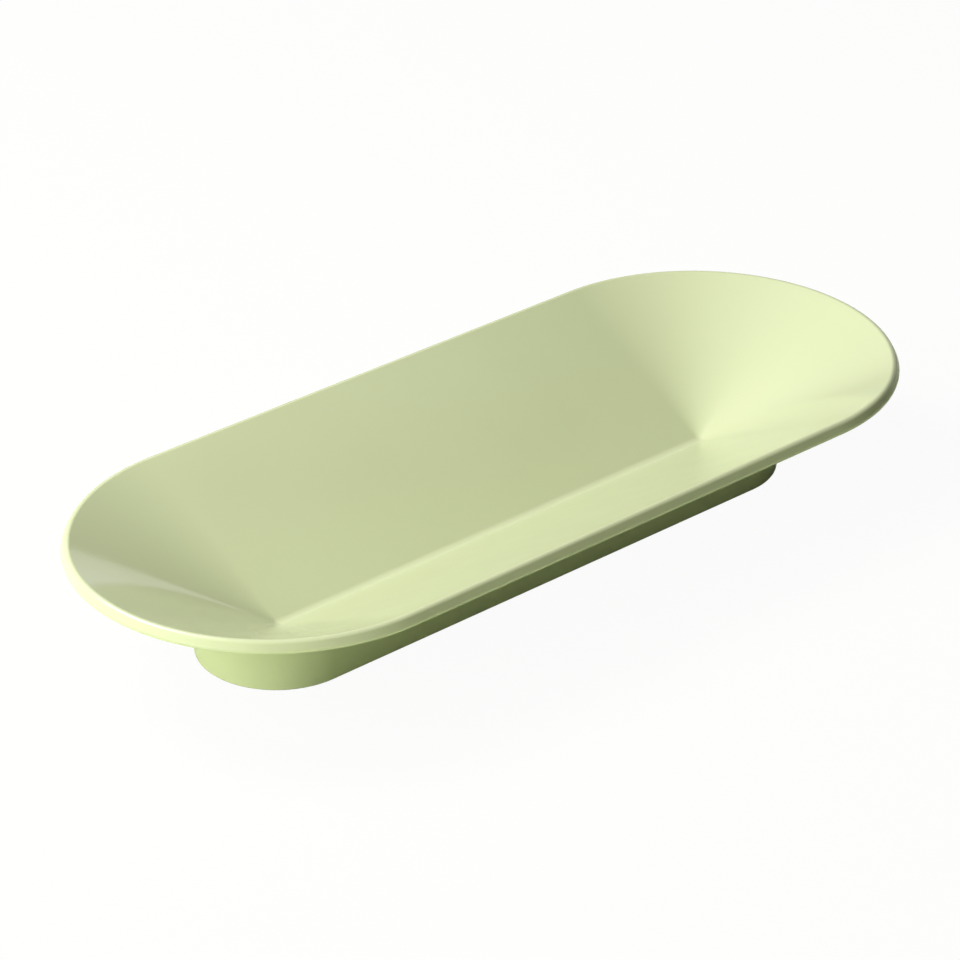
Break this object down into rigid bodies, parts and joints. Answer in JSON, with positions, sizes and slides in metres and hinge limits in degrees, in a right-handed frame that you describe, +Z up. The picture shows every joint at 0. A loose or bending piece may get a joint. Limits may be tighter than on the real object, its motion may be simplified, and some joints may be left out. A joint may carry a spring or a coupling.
{
  "type": "olive dish",
  "caption": "Long stadium-shaped serving dish with a V-shaped trough, half-cone ends and a squared-off rim, on an upright foot ring with non-slip pads.",
  "frame": {"origin": "on the table, under the middle of the dish", "axes": "+X along the dish, +Y across it, +Z up"},
  "size_m": [0.3, 0.1264, 0.0395],
  "materials": {
    "dish": "moulded, smooth, soft gloss",
    "foot": "moulded, smooth, soft gloss",
    "pad": "matte, slightly translucent"
  },
  "bodies": {
    "root": {"dish_shell": "dish", "foot_ring": "foot", "pad_front_left": "pad", "pad_front_right": "pad", "pad_back_left": "pad", "pad_back_right": "pad"}
  },
  "joints": []
}
